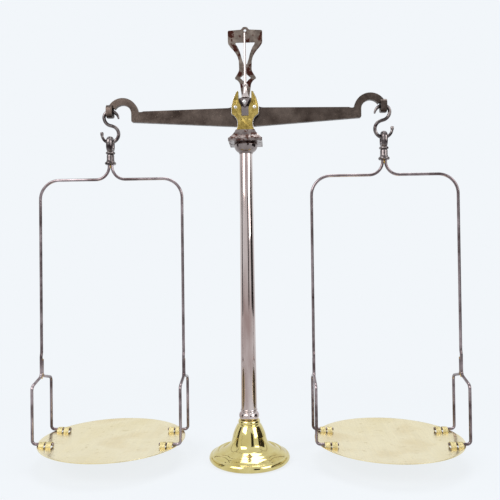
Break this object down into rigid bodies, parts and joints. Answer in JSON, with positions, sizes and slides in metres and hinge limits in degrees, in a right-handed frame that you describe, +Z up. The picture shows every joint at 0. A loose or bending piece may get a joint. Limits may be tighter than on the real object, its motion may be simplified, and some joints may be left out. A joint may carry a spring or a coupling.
{
  "type": "weighing scale",
  "caption": "Two-pan beam balance on a turned brass foot and steel column, with knife edges, S-hooks, swivels and wire stirrups.",
  "frame": {"origin": "centre of the foot's underside, on the table", "axes": "+Z up the column, +X along the beam to the right pan, -Y towards the viewer of the cheek plate"},
  "size_m": [0.584, 0.2, 0.6058],
  "materials": {
    "foot_brass": "polished",
    "plate_brass": "satin, worn",
    "pan_brass": "brushed and polished",
    "polished_steel": "polished",
    "bright_steel": "bright",
    "index_steel": "dull, browned, rust patches",
    "beam_steel": "browned",
    "hook_steel": "browned, rubbed bright",
    "wire_steel": "drawn, lightly browned"
  },
  "bodies": {
    "stand": {"foot": "foot_brass", "foot_washer": "bright_steel", "foot_nut": "bright_steel", "tie_rod": "bright_steel", "yoke_stud": "bright_steel", "base_bead": "polished_steel", "column": "polished_steel", "capital": "polished_steel", "yoke": "polished_steel", "front_cheek_arm": "bright_steel", "rear_cheek_arm": "bright_steel", "front_cheek_plate": "plate_brass", "front_bearing": "bright_steel", "rear_bearing": "bright_steel", "front_cheek_rivets": "bright_steel", "rear_cheek_rivets": "bright_steel", "index_frame": "index_steel"},
    "balance_beam": {"beam": "beam_steel", "centre_knife": "bright_steel", "left_end_knife": "bright_steel", "right_end_knife": "bright_steel", "pointer": "polished_steel"},
    "left_hook": {"left_s_hook": "hook_steel"},
    "left_eye": {"left_swivel_eye": "hook_steel"},
    "left_hanging_pan": {"left_swivel_barrel": "hook_steel", "left_swivel_flange": "hook_steel", "left_outer_stirrup_wire": "wire_steel", "left_inner_stirrup_wire": "wire_steel", "left_outer_fork_wire": "wire_steel", "left_inner_fork_wire": "wire_steel", "left_pan": "pan_brass"},
    "right_hook": {"right_s_hook": "hook_steel"},
    "right_eye": {"right_swivel_eye": "hook_steel"},
    "right_hanging_pan": {"right_swivel_barrel": "hook_steel", "right_swivel_flange": "hook_steel", "right_outer_stirrup_wire": "wire_steel", "right_inner_stirrup_wire": "wire_steel", "right_outer_fork_wire": "wire_steel", "right_inner_fork_wire": "wire_steel", "right_pan": "pan_brass"}
  },
  "joints": [
    {"name": "beam_tilt", "type": "hinge", "parent": "stand", "child": "balance_beam", "pos_m": [0, 0, 0.484], "axis": [0, 1, 0], "range_deg": [-5, 5]},
    {"name": "left_hook_pivot", "type": "hinge", "parent": "balance_beam", "child": "left_hook", "pos_m": [-0.19, 0, 0.484], "axis": [0, 1, 0], "range_deg": [-5, 5]},
    {"name": "left_eye_sway", "type": "hinge", "parent": "left_hook", "child": "left_eye", "pos_m": [-0.19, 0, 0.4426], "axis": [1, 0, 0], "range_deg": [-8, 8]},
    {"name": "left_swivel", "type": "hinge", "parent": "left_eye", "child": "left_hanging_pan", "pos_m": [-0.19, 0, 0.42], "axis": [0, 0, 1], "continuous": true},
    {"name": "right_hook_pivot", "type": "hinge", "parent": "balance_beam", "child": "right_hook", "pos_m": [0.19, 0, 0.484], "axis": [0, 1, 0], "range_deg": [-5, 5]},
    {"name": "right_eye_sway", "type": "hinge", "parent": "right_hook", "child": "right_eye", "pos_m": [0.19, 0, 0.4426], "axis": [1, 0, 0], "range_deg": [-8, 8]},
    {"name": "right_swivel", "type": "hinge", "parent": "right_eye", "child": "right_hanging_pan", "pos_m": [0.19, 0, 0.42], "axis": [0, 0, 1], "continuous": true}
  ],
  "couplings": [
    {"joint": "left_hook_pivot", "follows": "beam_tilt", "ratio": -1},
    {"joint": "right_hook_pivot", "follows": "beam_tilt", "ratio": -1}
  ]
}
